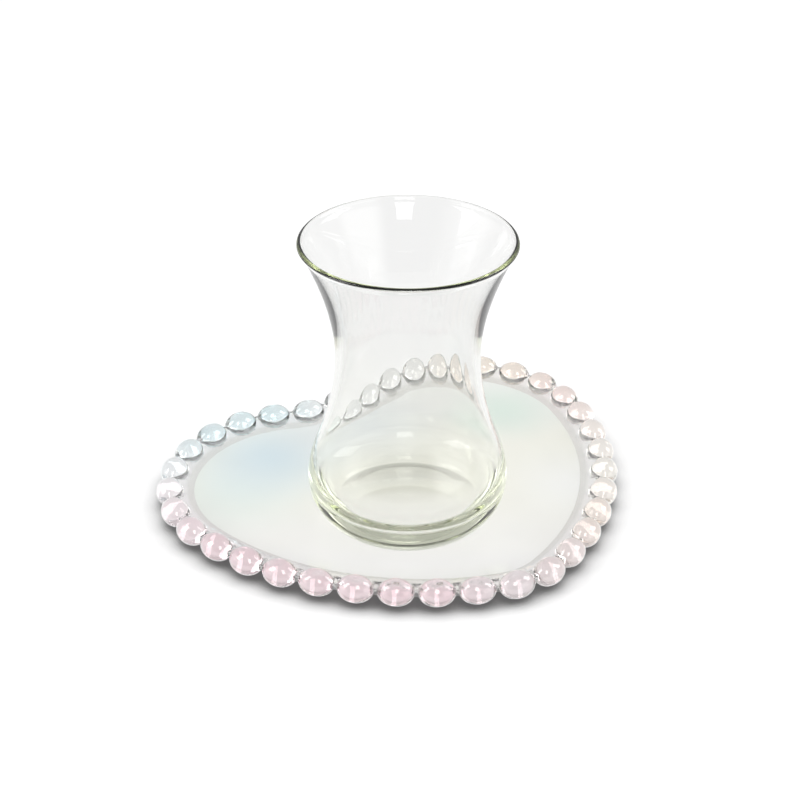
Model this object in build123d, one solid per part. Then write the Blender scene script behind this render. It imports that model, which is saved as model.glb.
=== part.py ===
"""Waisted tea glass on a heart-shaped pressed-glass saucer edged with a row of glass beads.

Millimetres, +Z up. The origin is under the middle of the saucer, on the surface that it stands on.
The heart's line of symmetry is the Y axis: its tip points to -Y and its notch to +Y.
"""

from build123d import *
import math
import os

# Tea glass: outside radii and the heights they are at, from the glass's own foot
rim_radius = 29.0
glass_height = 83.5
waist_radius = 19.6
waist_height = 50.0
shoulder_radius = 24.4
shoulder_height = 25.0
bulge_radius = 27.6
bulge_height = 12.5
foot_radius = 21.2

# Tea glass: wall and base, with the lip rounded by a share of its own wall on each side
lip_wall = 1.6
side_wall = 1.9
base_thickness = 5.5
contact_ring_width = 3.2
underside_recess = 0.6
lip_rounding = 0.42

# Tea glass: how far the outside leans at each station, in mm outwards per mm of height
rim_lean = 0.50
shoulder_lean = -0.375
heel_lean = 1.25

# Saucer: the heart-shaped line that the beads are threaded on
lobe_radius = 38.65
lobe_spacing = 53.6
side_radius = 85.65
tip_radius = 24.15
lobe_to_tip = 49.6
notch_depth = 5.6

# Saucer: beads, and how far they stay above the table
bead_count = 36
bead_length = 10.0
bead_thickness = 7.8
bead_clearance = 0.3
bead_height = bead_clearance + bead_thickness / 2

# Saucer: plate, with distances measured inwards from the bead line
floor_thickness = 3.5
floor_inset = 7.05
dish_rim_inset = 2.9
dish_rim_rise = 1.7
dish_rim_height = floor_thickness + dish_rim_rise
foot_inset = 12.1
edge_thickness = 1.9
edge_underside = dish_rim_height - edge_thickness

# Saucer: the plate's edge covers the straight beads' ends, even where the line bends most at the tip
edge_cover = 0.2
edge_reach = bead_length**2 / (8 * tip_radius) + edge_cover

# Where the glass stands on the saucer, from the bead line's lobe centres midway between them
glass_offset_x = -8.7
glass_offset_y = -26.1


def polar(centre, radius, toward):
    """The point at a radius from a centre, on the way toward another point."""
    reach = Vector(*toward) - Vector(*centre)
    return Vector(*centre) + reach.normalized() * radius


class HeartLine:
    """Half of a smooth heart: notch, lobe, side and tip arcs, each tangent to the next."""

    def __init__(self):
        self.lobe = Vector(lobe_spacing / 2, 0)
        self.tip = Vector(0, -lobe_to_tip)
        self.side = self.side_centre()
        crest = lobe_radius - notch_depth
        half = lobe_spacing / 2
        self.notch_radius = (half**2 + crest**2 - lobe_radius**2) / (2 * (lobe_radius - crest))
        self.notch = Vector(0, crest + self.notch_radius)
        top = lobe_radius
        bottom = -lobe_to_tip - tip_radius
        self.middle = Vector(0, (top + bottom) / 2)

    def side_centre(self):
        """The centre of the long side arc, which both the lobe and the tip circles touch inside."""
        to_lobe = side_radius - lobe_radius
        to_tip = side_radius - tip_radius
        across = self.tip - self.lobe
        span = across.length
        along = (to_lobe**2 - to_tip**2 + span**2) / (2 * span)
        aside = math.sqrt(to_lobe**2 - along**2)
        forward = across.normalized()
        return self.lobe + forward * along + Vector(forward.Y, -forward.X) * aside

    def half_arcs(self, grow):
        """The right half's arcs from notch to tip, moved outwards by grow."""
        notch_low = self.notch - Vector(0, self.notch_radius)
        notch_end = polar(self.lobe, lobe_radius, self.notch)
        side_start = self.side + (self.lobe - self.side).normalized() * side_radius
        side_end = self.side + (self.tip - self.side).normalized() * side_radius
        tip_low = self.tip - Vector(0, tip_radius)
        runs = [
            (self.notch, self.notch_radius, -grow, notch_low, notch_end),
            (self.lobe, lobe_radius, grow, notch_end, side_start),
            (self.side, side_radius, grow, side_start, side_end),
            (self.tip, tip_radius, grow, side_end, tip_low),
        ]
        arcs = []
        for centre, radius, change, start, end in runs:
            middle = (start - centre) + (end - centre)
            points = [start - centre, middle, end - centre]
            moved = [centre + p.normalized() * (radius + change) - self.middle for p in points]
            arcs.append(ThreePointArc(*moved))
        return arcs

    def outline(self, grow, height):
        """The whole closed heart at a height, starting and ending at the notch."""
        right = self.half_arcs(grow)
        left = [arc.mirror(Plane.YZ) for arc in reversed(right)]
        return Wire(right + left).moved(Location((0, 0, height)))


def solid_between(lower, upper):
    """A straight-sided solid from one outline to another above it."""
    return Solid.make_loft([lower, upper], ruled=True)


def make_bead():
    """One bead, longest along X, about the origin."""
    curve = EllipticalCenterArc((0, 0), bead_length / 2, bead_thickness / 2, arc_size=180)
    axis_line = Line(curve @ 1, curve @ 0)
    return revolve(make_face([curve, axis_line]), Axis.X, 360)


def bead_places(line):
    """Where the beads sit: evenly along the heart, none of them right on its notch or tip."""
    pitch = line.length / bead_count
    places = []
    for number in range(bead_count):
        along = (number + 0.5) * pitch
        point = line.position_at(along, position_mode=PositionMode.LENGTH)
        heading = line.tangent_at(along, position_mode=PositionMode.LENGTH)
        places.append(Plane(origin=point, x_dir=heading, z_dir=(0, 0, 1)).location)
    return places


def make_saucer():
    """The heart plate with its flat foot, shallow dish and beaded edge, all one piece of glass."""
    heart = HeartLine()
    foot = solid_between(heart.outline(-foot_inset, 0), heart.outline(edge_reach, edge_underside))
    edge = solid_between(
        heart.outline(edge_reach, edge_underside),
        heart.outline(edge_reach, dish_rim_height),
    )
    spread = floor_inset - dish_rim_inset
    dish = solid_between(
        heart.outline(-floor_inset, floor_thickness),
        heart.outline(-dish_rim_inset + spread, dish_rim_height + dish_rim_rise),
    )
    plate = foot + edge - dish
    bead = make_bead()
    beads = [bead.moved(place) for place in bead_places(heart.outline(0, bead_height))]
    return plate + beads


def make_glass():
    """The waisted glass, turned about its own axis with its foot at the saucer's floor."""
    outside = Spline(
        (foot_radius, 0),
        (bulge_radius, bulge_height),
        (shoulder_radius, shoulder_height),
        (waist_radius, waist_height),
        (rim_radius, glass_height),
        tangents=[(heel_lean, 1), (0, 1), (shoulder_lean, 1), (0, 1), (rim_lean, 1)],
    )
    inside = Spline(
        (0, base_thickness),
        (bulge_radius - side_wall, bulge_height + base_thickness / 2),
        (shoulder_radius - side_wall, shoulder_height + side_wall * abs(shoulder_lean)),
        (waist_radius - side_wall, waist_height),
        (rim_radius - lip_wall, glass_height),
        tangents=[(1, 0), (0, 1), (shoulder_lean, 1), (0, 1), (rim_lean, 1)],
    )
    recess_radius = foot_radius - contact_ring_width
    dome = ThreePointArc((recess_radius, 0), (0, underside_recess), (-recess_radius, 0))
    underside = dome.trim(0, 0.5)
    outline = [
        outside,
        Line(outside @ 1, inside @ 1),
        inside,
        Line(inside @ 0, underside @ 1),
        underside,
        Line(underside @ 0, outside @ 0),
    ]
    glass = revolve(Plane.XZ * make_face(outline), Axis.Z, 360)
    return glass


def round_lip(glass):
    """Rounds the rim over its whole wall."""
    top = glass.edges().filter_by(GeomType.CIRCLE).sort_by(Axis.Z)[-2:]
    return fillet(top, lip_wall * lip_rounding)


heart_middle = HeartLine().middle
glass_x = glass_offset_x - heart_middle.X
glass_y = glass_offset_y - heart_middle.Y

saucer = make_saucer()
tea_glass = round_lip(make_glass()).moved(Location((glass_x, glass_y, floor_thickness)))

os.makedirs("parts", exist_ok=True)
export_step(saucer, "parts/saucer.step")
export_step(tea_glass, "parts/tea_glass.step")
print("glass stands at", round(glass_x, 2), round(glass_y, 2))
print("bead pitch", round(HeartLine().outline(0, 0).length / bead_count, 2))
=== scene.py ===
"""Looks of the waisted tea glass and its heart-shaped beaded saucer.

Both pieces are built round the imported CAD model, in its own frame: metres, +Z up, with the heart's
tip to -Y. Shapes are worked out in millimetres and turned into metres when a mesh is made.
"""

import math

import bmesh
import bpy
import numpy as np
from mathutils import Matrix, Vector


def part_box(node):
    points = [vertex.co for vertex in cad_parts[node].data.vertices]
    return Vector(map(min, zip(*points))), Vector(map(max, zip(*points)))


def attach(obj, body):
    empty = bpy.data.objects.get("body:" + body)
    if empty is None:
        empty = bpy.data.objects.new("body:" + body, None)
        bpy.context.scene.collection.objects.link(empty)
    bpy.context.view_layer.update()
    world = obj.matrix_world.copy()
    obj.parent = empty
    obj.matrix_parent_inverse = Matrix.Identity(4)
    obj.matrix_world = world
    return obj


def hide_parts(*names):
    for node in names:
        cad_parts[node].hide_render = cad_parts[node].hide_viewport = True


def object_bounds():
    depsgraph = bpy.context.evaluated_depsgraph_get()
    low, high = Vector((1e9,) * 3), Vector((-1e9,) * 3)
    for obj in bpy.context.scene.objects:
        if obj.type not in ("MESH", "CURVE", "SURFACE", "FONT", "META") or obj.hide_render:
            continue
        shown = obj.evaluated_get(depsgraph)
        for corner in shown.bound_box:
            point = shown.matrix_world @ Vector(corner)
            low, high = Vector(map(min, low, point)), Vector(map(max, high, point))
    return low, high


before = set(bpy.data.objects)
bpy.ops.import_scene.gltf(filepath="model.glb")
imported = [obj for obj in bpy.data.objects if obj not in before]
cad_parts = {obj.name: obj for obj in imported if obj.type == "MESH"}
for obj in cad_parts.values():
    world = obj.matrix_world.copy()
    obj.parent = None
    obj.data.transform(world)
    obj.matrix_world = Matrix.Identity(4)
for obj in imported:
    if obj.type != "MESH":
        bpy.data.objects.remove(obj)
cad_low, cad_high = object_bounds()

MM = 0.001

# Where the glass stands, and the camera round it
glass_low, glass_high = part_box("tea_glass")
glass_axis = Vector(((glass_low.x + glass_high.x) / 2, (glass_low.y + glass_high.y) / 2, 0))
photo_azimuth = math.radians(-33.6)
camera_distance = 0.4203
camera_height = 0.2858
camera_aside = -0.0021
camera_pitch = math.radians(30.45)
focal_length = 80.6
sensor_width = 36.0

# Ground directions of the photographed view, in the part's frame
view_ahead = Vector((-math.sin(photo_azimuth), math.cos(photo_azimuth), 0))
view_right = Vector((math.cos(photo_azimuth), math.sin(photo_azimuth), 0))

# Tea glass, in millimetres from its own foot: radius, height and lean of each station
OUTSIDE = [
    (21.2, 0.0, 1.25),
    (27.6, 12.5, 0.0),
    (24.4, 25.0, -0.375),
    (19.6, 50.0, 0.0),
    (28.95, 83.4, 0.50),
]
SIDE_WALL = 1.9
LIP_WALL = 1.6
BASE_THICKNESS = 4.2
BOWL_SQUARENESS = 0.7
CONTACT_RING_WIDTH = 3.2
UNDERSIDE_RECESS = 0.6
CONTACT_GAP = 0.06
FOOT_ROUNDING = 0.5
PROFILE_STEPS = 22
GLASS_TURNS = 192

# Saucer, in millimetres: the heart line
LOBE_RADIUS = 38.65
LOBE_SPACING = 53.6
SIDE_RADIUS = 85.65
TIP_RADIUS = 24.15
LOBE_TO_TIP = 49.6
NOTCH_DEPTH = 5.6

# Saucer, in millimetres: beads and plate
BEAD_COUNT = 36
BEAD_LENGTH = 10.0
BEAD_THICKNESS = 7.8
BEAD_CLEARANCE = 0.3
BEAD_HEIGHT = BEAD_CLEARANCE + BEAD_THICKNESS / 2
FLOOR_THICKNESS = 3.5
FLOOR_INSET = 7.05
DISH_RIM_INSET = 2.9
DISH_RIM_HEIGHT = FLOOR_THICKNESS + 1.7
FOOT_INSET = 12.1
EDGE_REACH = BEAD_LENGTH**2 / (8 * TIP_RADIUS) + 0.2
EDGE_UNDERSIDE = DISH_RIM_HEIGHT - 1.9

# Saucer: how soft and uneven the pressed glass is, in millimetres, and how finely it is meshed
BEAD_BLEND = 0.6
BEAD_UNEVEN = 0.03
WAVE_HEIGHT = 0.05
SECTION_ROWS = 72
BEAD_STEPS = 23

# Waviness of the rim: cycles round the heart, cycles round the section, and where each starts
RIPPLES = [(61, -3, 1.3), (97, 5, 2.1), (143, -6, 0.4)]

# Studio, in metres: how far out the lamps hang
LAMP_DISTANCE = 0.95


def mesh_object(name, verts, faces, materials, slots=None):
    """A smooth mesh object in metres from millimetre points."""
    mesh = bpy.data.meshes.new(name)
    mesh.from_pydata((np.asarray(verts) * MM).tolist(), [], faces)
    for material in materials:
        mesh.materials.append(material)
    if slots is not None:
        mesh.polygons.foreach_set("material_index", slots)
    solid = bmesh.new()
    solid.from_mesh(mesh)
    bmesh.ops.recalc_face_normals(solid, faces=solid.faces)
    solid.to_mesh(mesh)
    solid.free()
    mesh.polygons.foreach_set("use_smooth", [True] * len(mesh.polygons))
    mesh.update()
    piece = bpy.data.objects.new(name, mesh)
    bpy.context.scene.collection.objects.link(piece)
    return piece


def hermite(start, end, steps):
    """Points of a smooth curve between two (radius, height, lean) stations, without the last."""
    (r0, z0, m0), (r1, z1, m1) = start, end
    t = np.linspace(0, 1, steps, endpoint=False)
    h = z1 - z0
    r = ((2 * t**3 - 3 * t**2 + 1) * r0 + (t**3 - 2 * t**2 + t) * m0 * h
         + (-2 * t**3 + 3 * t**2) * r1 + (t**3 - t**2) * m1 * h)
    return [(float(a), float(z0 + b * h)) for a, b in zip(r, t)]


def glass_profile():
    """The glass's outline from the axis underneath, up the outside, over the lip and down inside."""
    foot = OUTSIDE[0][0]
    recess = foot - CONTACT_RING_WIDTH
    points = [
        (recess * u, CONTACT_GAP + UNDERSIDE_RECESS * (1 - u**2) ** 2)
        for u in np.linspace(0, 1, 14)
    ]
    turn = [math.radians(a) for a in (0, 22, 45, 68)]
    points += [
        (foot - FOOT_ROUNDING * (1 - math.sin(a)), CONTACT_GAP + FOOT_ROUNDING / 2 * (1 - math.cos(a)))
        for a in turn
    ]
    for start, end in zip(OUTSIDE, OUTSIDE[1:]):
        points += hermite(start, end, PROFILE_STEPS)[1 if start is OUTSIDE[0] else 0:]
    top_radius, top_height, _ = OUTSIDE[-1]
    lip = LIP_WALL / 2
    for angle in np.linspace(0, math.pi, 13):
        across, above = lip * math.cos(angle), lip * math.sin(angle)
        points.append((top_radius - lip + across, top_height - lip + above))
    inside = [(r - SIDE_WALL, z + SIDE_WALL * abs(m) * (m < 0), m) for r, z, m in OUTSIDE[1:-1]]
    inside[0] = (inside[0][0], OUTSIDE[1][1] + BASE_THICKNESS / 2, 0.0)
    inside.append((top_radius - LIP_WALL, top_height - lip, OUTSIDE[-1][2]))
    down = []
    for start, end in zip(inside, inside[1:]):
        down += hermite(start, end, PROFILE_STEPS)
    points += down[::-1][:-1]
    bowl_radius, bowl_height, _ = inside[0]
    depth = bowl_height - BASE_THICKNESS
    for angle in np.linspace(0, math.pi / 2, 26):
        sunk = depth * math.sin(angle) ** BOWL_SQUARENESS
        points.append((bowl_radius * math.cos(angle), bowl_height - sunk))
    return points


def lathe(name, profile, turns, centre, lift, material):
    """A profile that starts and ends on the axis, turned about the vertical through centre."""
    inner = profile[1:-1]
    rings = len(inner)
    angles = np.arange(turns) * 2 * math.pi / turns
    cos, sin = np.cos(angles), np.sin(angles)
    radius = np.array([p[0] for p in inner])[:, None]
    height = np.array([p[1] for p in inner])[:, None]
    x = centre[0] + radius * cos
    y = centre[1] + radius * sin
    z = lift + height + 0 * cos
    verts = np.stack([x, y, z], -1).reshape(-1, 3).tolist()
    verts.append([centre[0], centre[1], lift + profile[0][1]])
    verts.append([centre[0], centre[1], lift + profile[-1][1]])
    under, bowl = rings * turns, rings * turns + 1
    faces = []
    for k in range(turns):
        n = (k + 1) % turns
        faces.append((under, n, k))
        last = (rings - 1) * turns
        faces.append((bowl, last + k, last + n))
        for r in range(rings - 1):
            a = r * turns
            faces.append((a + k, a + n, a + turns + n, a + turns + k))
    return mesh_object(name, verts, faces, [material])


class HeartLine:
    """The heart-shaped line of the beads as tangent arcs, measured by length from the notch."""

    def __init__(self):
        lobe = np.array([LOBE_SPACING / 2, 0.0])
        tip = np.array([0.0, -LOBE_TO_TIP])
        crest = LOBE_RADIUS - NOTCH_DEPTH
        notch_radius = (lobe[0] ** 2 + crest**2 - LOBE_RADIUS**2) / (2 * (LOBE_RADIUS - crest))
        notch = np.array([0.0, crest + notch_radius])
        across = tip - lobe
        span = np.hypot(*across)
        forward = across / span
        to_lobe, to_tip = SIDE_RADIUS - LOBE_RADIUS, SIDE_RADIUS - TIP_RADIUS
        along = (to_lobe**2 - to_tip**2 + span**2) / (2 * span)
        aside = math.sqrt(to_lobe**2 - along**2)
        side = lobe + forward * along + np.array([forward[1], -forward[0]]) * aside
        self.shift = np.array([0.0, (LOBE_RADIUS - LOBE_TO_TIP - TIP_RADIUS) / 2])
        joint_notch = self.angle(notch - lobe)
        joint_side = self.angle(lobe - side)
        joint_tip = self.angle(tip - side)
        self.arcs = [
            (notch, notch_radius, -math.pi / 2, self.angle(lobe - notch), -1.0),
            (lobe, LOBE_RADIUS, joint_notch, joint_side, 1.0),
            (side, SIDE_RADIUS, joint_side, joint_tip, 1.0),
            (tip, TIP_RADIUS, joint_tip, -math.pi / 2, 1.0),
        ]
        self.lengths = [abs(end - start) * radius for _, radius, start, end, _ in self.arcs]
        self.half = sum(self.lengths)

    @staticmethod
    def angle(v):
        return math.atan2(v[1], v[0])

    def at(self, s):
        """Position and outward normal at length s from the notch, going round by +X."""
        s = s % (2 * self.half)
        mirrored = s > self.half
        if mirrored:
            s = 2 * self.half - s
        for (centre, radius, start, end, side), length in zip(self.arcs, self.lengths):
            if s <= length + 1e-9:
                break
            s -= length
        a = start + (end - start) * min(s / length, 1.0)
        out = np.array([math.cos(a), math.sin(a)])
        point = centre + radius * out - self.shift
        normal = out * side
        flip = np.array([-1.0, 1.0]) if mirrored else np.array([1.0, 1.0])
        return point * flip, normal * flip


def smooth_max(a, b, soft):
    """The larger of two lengths, with a rounded change-over."""
    blend = np.clip(0.5 + 0.5 * (a - b) / soft, 0, 1)
    return b + (a - b) * blend + soft / 2 * blend * (1 - blend)


def rim_rays(count):
    """Angles of the rays from the bead line round the rim's section, from floor to foot."""
    start = math.atan2(FLOOR_THICKNESS - BEAD_HEIGHT, -FLOOR_INSET) + 2 * math.pi
    stop = math.atan2(-BEAD_HEIGHT, -FOOT_INSET)
    return np.linspace(start, stop, count)


def plate_reach(angles):
    """How far each ray from the bead line goes inside the plate's section, with its edges rounded."""
    corners = [
        (-FLOOR_INSET, FLOOR_THICKNESS),
        (-DISH_RIM_INSET, DISH_RIM_HEIGHT),
        (EDGE_REACH, DISH_RIM_HEIGHT),
        (EDGE_REACH, EDGE_UNDERSIDE),
        (-FOOT_INSET, 0.0),
    ]
    reach = np.zeros(len(angles))
    for i, angle in enumerate(angles):
        d = (math.cos(angle), math.sin(angle))
        best = 0.0
        for (x0, z0), (x1, z1) in zip(corners, corners[1:]):
            ex, ez = x1 - x0, z1 - z0
            det = d[0] * -ez + d[1] * ex
            if abs(det) < 1e-9:
                continue
            px, pz = x0, z0 - BEAD_HEIGHT
            t = (px * -ez + pz * ex) / det
            u = (d[0] * pz - d[1] * px) / det
            if t > 0 and -1e-6 <= u <= 1 + 1e-6:
                best = max(best, t)
        reach[i] = best
    rounded = reach.copy()
    for _ in range(2):
        rounded[1:-1] = (rounded[:-2] + 2 * rounded[1:-1] + rounded[2:]) / 4
    return np.minimum(rounded, reach)


def saucer_mesh(name, materials):
    """Plate and beads as one closed skin: the rim's section goes round the heart and swells at beads."""
    heart = HeartLine()
    whole = 2 * heart.half
    pitch = whole / BEAD_COUNT
    reach_out = BEAD_LENGTH / 2
    swell = [math.sin(a) * reach_out for a in np.linspace(-math.pi / 2, math.pi / 2, BEAD_STEPS)]
    gap = (pitch - BEAD_LENGTH) / 2
    steps = [-reach_out - gap / 2] + swell + [reach_out + gap / 2, reach_out + gap]
    angles = rim_rays(SECTION_ROWS)
    plate = plate_reach(angles)
    rows = len(angles)
    uneven = np.random.default_rng(5).uniform(1 - BEAD_UNEVEN, 1, BEAD_COUNT)
    fade = np.clip(np.minimum(np.arange(rows), np.arange(rows)[::-1]) / 6, 0, 1)
    seam = np.clip(1.5 - np.arange(rows) / 1.5, 0, 1)
    columns, shares = [], []
    for bead in range(BEAD_COUNT):
        for step in steps:
            s = (bead + 0.5) * pitch + step
            inside = max(0.0, 1 - (step / reach_out) ** 2)
            radius = BEAD_THICKNESS / 2 * math.sqrt(inside) * uneven[bead]
            point, normal = heart.at(s)
            reach = smooth_max(plate, radius, BEAD_BLEND) if radius > 0 else plate + 0.0
            wave = sum(
                math.sin(2 * math.pi * n * s / whole + shift) * np.cos(m * angles)
                for n, m, shift in RIPPLES
            )
            reach = reach - WAVE_HEIGHT * fade * (1 + wave / len(RIPPLES))
            across = reach * np.cos(angles)
            up = BEAD_HEIGHT + reach * np.sin(angles)
            x = point[0] + normal[0] * across
            y = point[1] + normal[1] * across
            columns.append(np.stack([x, y, up], -1))
            shares.append(np.clip((radius - plate) / BEAD_BLEND + 0.5, 0, 1))
    grid = np.array(columns)
    count = len(columns)
    verts = grid.reshape(-1, 3).tolist()
    share = np.array(shares).reshape(-1).tolist()
    seams = np.tile(seam, count).tolist()
    coat_from = int(np.argmax((plate * np.cos(angles) < -FLOOR_INSET) & (np.arange(rows) > rows / 2)))
    faces, slots = [], []
    for c in range(count):
        n = (c + 1) % count
        for r in range(rows - 1):
            faces.append((c * rows + r, c * rows + r + 1, n * rows + r + 1, n * rows + r))
            slots.append(1 if r >= coat_from else 0)
    centre = np.array([0.0, 2.0])
    for row, level in ((0, FLOOR_THICKNESS), (rows - 1, 0.0)):
        ring = [c * rows + row for c in range(count)]
        for scale in (0.85, 0.6, 0.3):
            inner = []
            for c in range(count):
                x, y = grid[c, row, :2]
                inner.append(len(verts))
                near = centre + (np.array([x, y]) - centre) * scale
                verts.append([near[0], near[1], level])
                share.append(0.0)
                seams.append(0.0)
            for c in range(count):
                n = (c + 1) % count
                faces.append((ring[c], ring[n], inner[n], inner[c]))
                slots.append(1)
            ring = inner
        middle = len(verts)
        verts.append([centre[0], centre[1], level])
        share.append(0.0)
        seams.append(0.0)
        for c in range(count):
            faces.append((ring[c], ring[(c + 1) % count], middle))
            slots.append(1)
    piece = mesh_object(name, verts, faces, materials, slots)
    for label, values in (("bead_share", share), ("coat_seam", seams)):
        attribute = piece.data.attributes.new(label, "FLOAT", "POINT")
        attribute.data.foreach_set("value", values)
    return piece


def node_tree(name):
    material = bpy.data.materials.new(name)
    material.use_nodes = True
    tree = material.node_tree
    shader = tree.nodes["Principled BSDF"]
    return material, tree, shader


def object_place(tree):
    """Where a point lies in the part's own frame."""
    return tree.nodes.new("ShaderNodeTexCoord").outputs["Object"]


def mapped(tree, value, low, high, to_low=0.0, to_high=1.0, smooth=True):
    """A value moved from one range to another."""
    node = tree.nodes.new("ShaderNodeMapRange")
    node.interpolation_type = "SMOOTHSTEP" if smooth else "LINEAR"
    node.inputs["From Min"].default_value = low
    node.inputs["From Max"].default_value = high
    node.inputs["To Min"].default_value = to_low
    node.inputs["To Max"].default_value = to_high
    tree.links.new(value, node.inputs["Value"])
    return node.outputs["Result"]


def ramp(tree, value, stops):
    """A run of colours along a value from 0 to 1."""
    node = tree.nodes.new("ShaderNodeValToRGB")
    node.color_ramp.interpolation = "EASE"
    elements = node.color_ramp.elements
    while len(elements) < len(stops):
        elements.new(0.5)
    for element, (position, colour) in zip(elements, stops):
        element.position = position
        element.color = (*colour, 1)
    tree.links.new(value, node.inputs["Fac"])
    return node.outputs["Color"]


def mixed(tree, factor, first, second, blend="MIX"):
    """Two colours mixed; each may be a colour or a socket, and so may the factor."""
    node = tree.nodes.new("ShaderNodeMix")
    node.data_type = "RGBA"
    node.blend_type = blend
    for socket, given in ((node.inputs[0], factor), (node.inputs[6], first), (node.inputs[7], second)):
        if isinstance(given, bpy.types.NodeSocket):
            tree.links.new(given, socket)
        elif isinstance(given, tuple):
            socket.default_value = (*given, 1)
        else:
            socket.default_value = given
    return node.outputs[2]


def along(tree, place, direction, low, high):
    """How far a point is along a direction, from 0 at low to 1 at high."""
    dot = tree.nodes.new("ShaderNodeVectorMath")
    dot.operation = "DOT_PRODUCT"
    dot.inputs[1].default_value = direction
    tree.links.new(place, dot.inputs[0])
    return mapped(tree, dot.outputs["Value"], low, high, smooth=False)


def patch(tree, place, under, centre, reach, colour, strength=1.0):
    """A soft round patch of another colour, centred in millimetres on the saucer."""
    distance = tree.nodes.new("ShaderNodeVectorMath")
    distance.operation = "DISTANCE"
    distance.inputs[1].default_value = (centre[0] * MM, centre[1] * MM, FLOOR_THICKNESS * MM)
    tree.links.new(place, distance.inputs[0])
    factor = mapped(tree, distance.outputs["Value"], 0.0, reach * MM, strength, 0.0)
    return mixed(tree, factor, under, colour)


def noise(tree, place, scale, detail=2.0):
    node = tree.nodes.new("ShaderNodeTexNoise")
    node.inputs["Scale"].default_value = scale
    node.inputs["Detail"].default_value = detail
    tree.links.new(place, node.inputs["Vector"])
    return node.outputs["Fac"]


def turn_share(degrees):
    """A direction about the vertical, as the radial gradient gives it."""
    return (degrees + 180) / 360


def clear_glass():
    """Colourless glass, olive green through its thick foot, with painted shade greying it towards the
    rim while the foot stays clearest.
    """
    material, tree, shader = node_tree("clear_glass")
    place = object_place(tree)
    # Painted shade: the base colour greys from the clear foot up to the rim to stand in for the darker
    # look of the upper glass; it is not the glass's own colour.
    upper = along(tree, place, (0, 0, 1), 0.004, 0.05)
    foot, waist, rim = (0.997, 0.998, 0.994), (0.985, 0.985, 0.985), (0.945, 0.945, 0.945)
    colour = ramp(tree, upper, [(0.0, foot), (0.5, waist), (1.0, rim)])
    tree.links.new(colour, shader.inputs["Base Color"])
    shader.inputs["Transmission Weight"].default_value = 1.0
    shader.inputs["Roughness"].default_value = 0.0
    shader.inputs["IOR"].default_value = 1.5
    absorb = tree.nodes.new("ShaderNodeVolumeAbsorption")
    absorb.inputs["Color"].default_value = (0.52, 0.60, 0.16, 1)
    absorb.inputs["Density"].default_value = 9.0
    tree.links.new(absorb.outputs[0], tree.nodes["Material Output"].inputs["Volume"])
    return material


def tinted_glass():
    """Pressed glass with a thin lustre, pink, peach, clear and teal by turns round the saucer."""
    material, tree, shader = node_tree("tinted_glass")
    place = object_place(tree)
    turn = tree.nodes.new("ShaderNodeTexGradient")
    turn.gradient_type = "RADIAL"
    tree.links.new(place, turn.inputs["Vector"])
    pink = (0.87, 0.68, 0.72)
    stops = [
        (-180, pink), (-118, pink), (-97, (0.82, 0.72, 0.74)), (-75, (0.86, 0.75, 0.74)),
        (-55, (0.90, 0.79, 0.72)), (-27, (0.93, 0.90, 0.84)), (-6, (0.94, 0.88, 0.83)),
        (12, (0.93, 0.78, 0.74)), (36, (0.93, 0.84, 0.74)), (58, (0.93, 0.93, 0.91)),
        (88, (0.93, 0.95, 0.95)), (108, (0.72, 0.87, 0.90)), (126, (0.76, 0.88, 0.91)),
        (142, (0.90, 0.92, 0.93)), (158, (0.91, 0.80, 0.83)), (180, pink),
    ]
    around = ramp(tree, turn.outputs["Fac"], [(turn_share(a), colour) for a, colour in stops])
    share, seam = (tree.nodes.new("ShaderNodeAttribute") for _ in range(2))
    share.attribute_name = "bead_share"
    seam.attribute_name = "coat_seam"
    cloudy = mapped(tree, noise(tree, place, 170.0), 0.35, 0.65, 0.8, 1.0)
    strength = tree.nodes.new("ShaderNodeMath")
    strength.operation = "MULTIPLY"
    tree.links.new(mapped(tree, share.outputs["Fac"], 0.0, 1.0, 0.25, 1.0), strength.inputs[0])
    tree.links.new(cloudy, strength.inputs[1])
    plain, seam_colour = (0.96, 0.96, 0.955), (0.50, 0.50, 0.42)
    colour = mixed(tree, strength.outputs[0], plain, around)
    colour = mixed(tree, mapped(tree, seam.outputs["Fac"], 0.0, 1.0, 0.0, 0.45), colour, seam_colour)
    tree.links.new(colour, shader.inputs["Base Color"])
    shader.inputs["Transmission Weight"].default_value = 1.0
    shader.inputs["Roughness"].default_value = 0.0
    shader.inputs["IOR"].default_value = 1.52
    shader.inputs["Coat Weight"].default_value = 1.0
    shader.inputs["Coat Roughness"].default_value = 0.0
    shader.inputs["Coat IOR"].default_value = 1.6
    return material


def pearl_coat():
    """The milky pearl coat of the saucer's floor and foot, in soft pastels."""
    material, tree, shader = node_tree("pearl_coat")
    place = object_place(tree)
    colour = ramp(tree, along(tree, place, view_ahead, -0.05, 0.05), [
        (0.0, (0.86, 0.855, 0.85)), (0.10, (0.885, 0.88, 0.865)), (0.22, (0.90, 0.895, 0.86)),
        (0.5, (0.91, 0.905, 0.82)), (0.75, (0.89, 0.89, 0.81)), (1.0, (0.88, 0.89, 0.86)),
    ])
    colour = patch(tree, place, colour, (-45, 26), 30, (0.79, 0.87, 0.83), 0.9)
    colour = patch(tree, place, colour, (-27, 36), 30, (0.68, 0.80, 0.845))
    colour = patch(tree, place, colour, (4, 38), 34, (0.78, 0.83, 0.85), 0.8)
    colour = patch(tree, place, colour, (45, 20), 22, (0.75, 0.86, 0.78))
    colour = patch(tree, place, colour, (38, -26), 26, (0.91, 0.915, 0.895), 0.9)
    cloud = mapped(tree, noise(tree, place, 45.0), 0.3, 0.7, 0.97, 1.0)
    colour = mixed(tree, 1.0, colour, cloud, "MULTIPLY")
    tree.links.new(colour, shader.inputs["Base Color"])
    shader.inputs["Roughness"].default_value = 0.3
    shader.inputs["IOR"].default_value = 1.5
    shader.inputs["Coat Weight"].default_value = 1.0
    shader.inputs["Coat Roughness"].default_value = 0.02
    shader.inputs["Coat IOR"].default_value = 1.6
    return material


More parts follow.
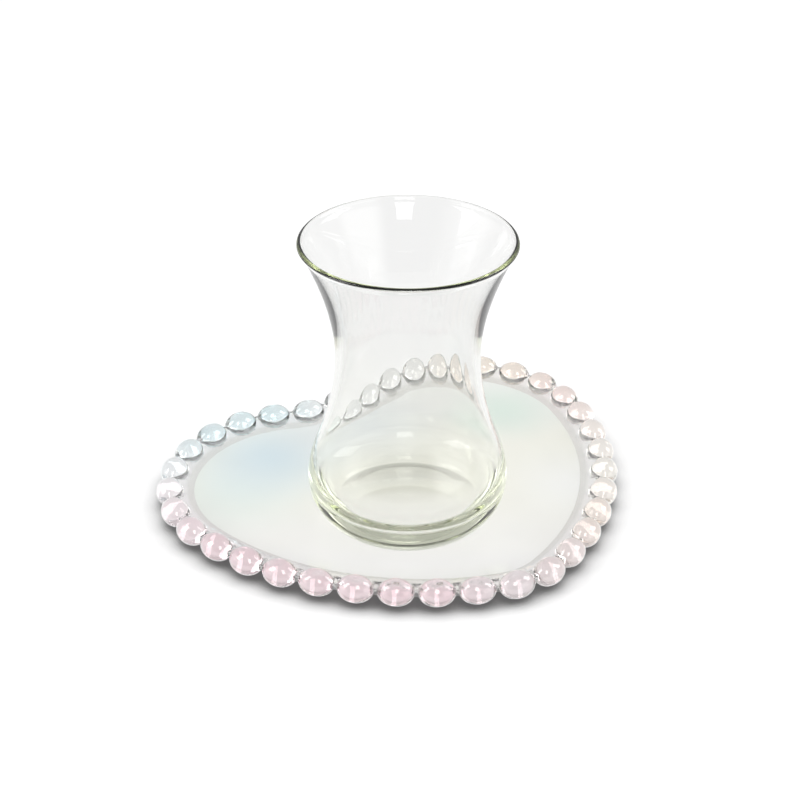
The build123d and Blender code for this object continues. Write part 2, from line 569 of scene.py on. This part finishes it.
glass_centre = (glass_axis.x / MM, glass_axis.y / MM)
glass = lathe(
    "tea_glass_blown", glass_profile(), GLASS_TURNS, glass_centre, glass_low.z / MM, clear_glass()
)
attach(glass, "root")
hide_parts("tea_glass")
glass.visible_shadow = False
glass.visible_diffuse = False

saucer = saucer_mesh("saucer_pressed", [tinted_glass(), pearl_coat()])
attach(saucer, "root")
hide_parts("saucer")


def make_floor():
    """A wide pale floor, darker where the saucer keeps light off it, and plain white through glass."""
    black, white, deepest = (0.0,) * 3, (1.0,) * 3, (0.14,) * 3
    colour_share, glow_share = (0.5,) * 3, (0.6,) * 3
    through_colour, through_glow = (0.15,) * 3, (0.85,) * 3
    bounce_colour = (0.95,) * 3
    material, tree, shader = node_tree("pale_floor")
    cover = tree.nodes.new("ShaderNodeAmbientOcclusion")
    cover.samples = 8
    cover.inputs["Distance"].default_value = 0.012
    shaded = mixed(tree, mapped(tree, cover.outputs["AO"], 0.25, 0.95), deepest, white)
    path = tree.nodes.new("ShaderNodeLightPath").outputs
    through = tree.nodes.new("ShaderNodeMath")
    through.operation = "MAXIMUM"
    tree.links.new(path["Is Transmission Ray"], through.inputs[0])
    tree.links.new(path["Is Glossy Ray"], through.inputs[1])
    seen_colour = mixed(tree, 1.0, shaded, colour_share, "MULTIPLY")
    lit = mixed(tree, path["Is Camera Ray"], bounce_colour, seen_colour)
    tree.links.new(mixed(tree, through.outputs[0], lit, through_colour), shader.inputs["Base Color"])
    seen_glow = mixed(tree, 1.0, shaded, glow_share, "MULTIPLY")
    glow = mixed(tree, path["Is Camera Ray"], black, seen_glow)
    glow = mixed(tree, through.outputs[0], glow, through_glow)
    tree.links.new(glow, shader.inputs["Emission Color"])
    shader.inputs["Emission Strength"].default_value = 1.0
    shader.inputs["Roughness"].default_value = 1.0
    shader.inputs["Specular IOR Level"].default_value = 0.0
    bpy.ops.mesh.primitive_plane_add(size=4.0, location=(0, 0, cad_low.z - 0.0003))
    floor = bpy.context.object
    floor.name = "floor"
    floor.data.materials.append(material)


def soft_box(name, location, target, size, power, shape_ratio=1.0):
    """A soft rectangular lamp that faces a target."""
    lamp = bpy.data.lights.new(name, "AREA")
    lamp.shape = "RECTANGLE"
    lamp.size = size
    lamp.size_y = size * shape_ratio
    lamp.energy = power
    holder = bpy.data.objects.new(name, lamp)
    holder.location = location
    holder.rotation_euler = (Vector(target) - Vector(location)).to_track_quat("-Z", "Y").to_euler()
    holder.visible_camera = False
    bpy.context.scene.collection.objects.link(holder)


def make_studio():
    """The room's light: even overhead, windows low down on two sides, and white to look at."""
    world = bpy.data.worlds.new("studio")
    bpy.context.scene.world = world
    world.use_nodes = True
    tree = world.node_tree
    background = tree.nodes["Background"]
    direction = tree.nodes.new("ShaderNodeTexCoord").outputs["Generated"]
    turn = tree.nodes.new("ShaderNodeTexGradient")
    turn.gradient_type = "RADIAL"
    tree.links.new(direction, turn.inputs["Vector"])
    dark, dim, mid, bright = (0.34,) * 3, (0.6,) * 3, (0.85,) * 3, (1.6,) * 3
    overhead, white = (0.53,) * 3, (1.0,) * 3
    windows = ramp(tree, turn.outputs["Fac"], [(turn_share(a), c) for a, c in [
        (-180, mid), (-155, dark), (-100, dark), (-80, bright), (-52, bright), (-36, mid),
        (0, mid), (30, dim), (84, dim), (118, mid), (148, bright), (168, bright), (180, mid),
    ]])
    height = along(tree, direction, (0, 0, 1), 0.0, 1.0)
    sky = mixed(tree, mapped(tree, height, 0.4, 0.7), windows, overhead)
    path = tree.nodes.new("ShaderNodeLightPath").outputs["Is Camera Ray"]
    tree.links.new(mixed(tree, path, sky, white), background.inputs["Color"])
    background.inputs["Strength"].default_value = 1.0
    up = Vector((0, 0, 1))
    for name, turn_off, lift, width, tall, power in (
        ("front_strip", 4, 44, 0.28, 0.5, 1.8),
        ("left_strip", -76, 38, 0.36, 0.6, 2.4),
        ("right_strip", 98, 38, 0.40, 0.6, 2.3),
    ):
        aside, above = math.radians(turn_off), math.radians(lift)
        out = (view_right * math.sin(aside) - view_ahead * math.cos(aside)) * math.cos(above)
        place = (out + up * math.sin(above)) * LAMP_DISTANCE
        soft_box(name, place, (0, 0, 0.01), width, power, tall / width)


def make_camera():
    """The camera at the photograph's viewing angle."""
    camera = bpy.data.cameras.new("camera")
    camera.sensor_width = sensor_width
    camera.lens = focal_length
    camera.clip_start = 0.01
    camera.clip_end = 20
    holder = bpy.data.objects.new("camera", camera)
    holder.location = glass_axis - view_ahead * camera_distance + view_right * camera_aside
    holder.location.z = cad_low.z + camera_height
    aim = view_ahead * math.cos(camera_pitch) - Vector((0, 0, 1)) * math.sin(camera_pitch)
    holder.rotation_mode = "QUATERNION"
    holder.rotation_quaternion = aim.to_track_quat("-Z", "Y")
    bpy.context.scene.collection.objects.link(holder)
    bpy.context.scene.camera = holder


make_floor()
make_studio()
make_camera()
scene = bpy.context.scene
scene.view_settings.view_transform = "Standard"
scene.cycles.max_bounces = 24
scene.cycles.glossy_bounces = 20
scene.cycles.transmission_bounces = 20
